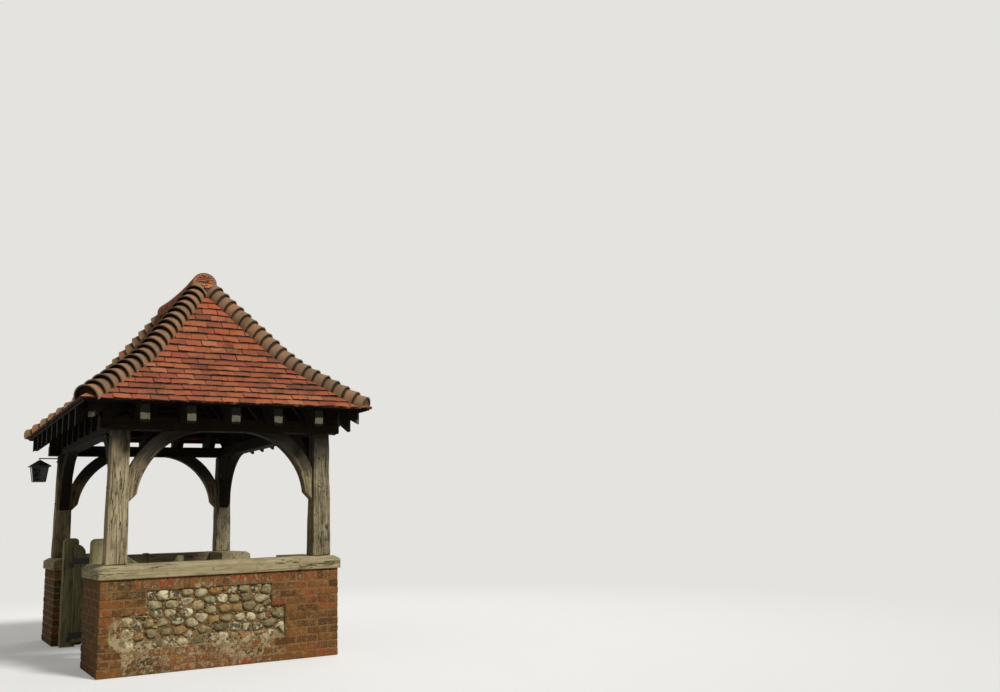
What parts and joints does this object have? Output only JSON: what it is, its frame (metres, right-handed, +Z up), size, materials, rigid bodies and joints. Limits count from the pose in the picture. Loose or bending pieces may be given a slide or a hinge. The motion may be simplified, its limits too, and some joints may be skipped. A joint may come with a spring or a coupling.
{
  "type": "lychgate",
  "caption": "Roofed churchyard gateway: hipped tiled roof with bell-cast eaves on an oak frame over dwarf brick and flint walls, with a pair of swinging gates.",
  "frame": {"origin": "on the ground under the middle of the ridge", "axes": "+Z up, +Y along the path into the yard, with the road at -Y, and +X to the right seen from the road"},
  "size_m": [4.6056, 2.9656, 4.1688],
  "materials": {
    "brick": "rough",
    "flint": "rough",
    "oak": "weathered",
    "sheltered_oak": "weathered",
    "roof_tile": "matt",
    "bonnet_tile": "matt",
    "gate_oak": "weathered",
    "iron": "painted black",
    "glass": "clear"
  },
  "bodies": {
    "frame": {"right_wall": "brick", "left_wall": "brick", "right_flint_panel": "flint", "left_flint_panel": "flint", "right_sill": "oak", "left_sill": "oak", "front_right_post": "oak", "front_left_post": "oak", "rear_right_post": "oak", "rear_left_post": "oak", "right_wall_plate": "oak", "left_wall_plate": "oak", "front_tie_beam": "sheltered_oak", "rear_tie_beam": "sheltered_oak", "right_side_braces": "oak", "left_side_braces": "oak", "front_cross_braces": "sheltered_oak", "rear_cross_braces": "sheltered_oak", "ridge_board": "sheltered_oak", "hip_rafters": "sheltered_oak", "front_rafters": "sheltered_oak", "rear_rafters": "sheltered_oak", "right_rafters": "sheltered_oak", "left_rafters": "sheltered_oak", "battens": "sheltered_oak", "front_tiles": "roof_tile", "rear_tiles": "roof_tile", "right_tiles": "roof_tile", "left_tiles": "roof_tile", "front_right_bonnets": "bonnet_tile", "front_left_bonnets": "bonnet_tile", "rear_right_bonnets": "bonnet_tile", "rear_left_bonnets": "bonnet_tile", "ridge_tiles": "bonnet_tile", "right_gate_post": "gate_oak", "left_gate_post": "gate_oak", "gate_hooks": "iron", "lantern_frame": "iron", "lantern_glass": "glass"},
    "right_gate": {"right_gate_frame": "gate_oak", "right_gate_pales": "gate_oak", "right_gate_straps": "iron"},
    "left_gate": {"left_gate_frame": "gate_oak", "left_gate_pales": "gate_oak", "left_gate_straps": "iron"}
  },
  "joints": [
    {"name": "right_gate_hinge", "type": "hinge", "parent": "frame", "child": "right_gate", "pos_m": [0.86, -1, 0.5535], "axis": [0, 0, 1], "range_deg": [0, 90]},
    {"name": "left_gate_hinge", "type": "hinge", "parent": "frame", "child": "left_gate", "pos_m": [-0.86, -1, 0.5535], "axis": [0, 0, -1], "range_deg": [0, 90]}
  ]
}
